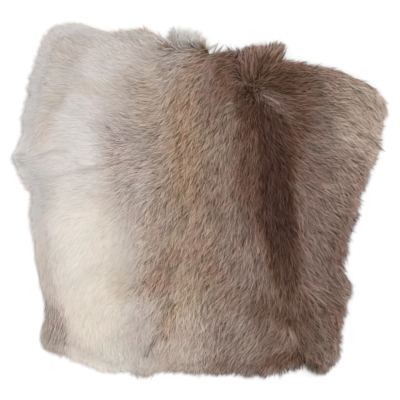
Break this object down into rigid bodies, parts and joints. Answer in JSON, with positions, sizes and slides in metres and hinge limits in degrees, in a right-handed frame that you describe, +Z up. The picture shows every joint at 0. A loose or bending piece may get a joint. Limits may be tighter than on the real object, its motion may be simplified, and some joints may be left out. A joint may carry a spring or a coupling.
{
  "type": "reindeer hide",
  "caption": "Roughly square reindeer hide with its winter coat, lying flat with the fur up, for use as a rug or throw.",
  "frame": {"origin": "middle of the hide's outline, on the surface that it lies on", "axes": "+Z up out of the fur, +X from the belly edge across the spine to the near flank, +Y from the rump to the neck"},
  "size_m": [1, 0.946, 0.0388],
  "materials": {
    "winter_coat": "dense matt hair, cream at the belly through taupe to a dark brown stripe along the back"
  },
  "bodies": {
    "root": {"hide": "winter_coat"}
  },
  "joints": []
}
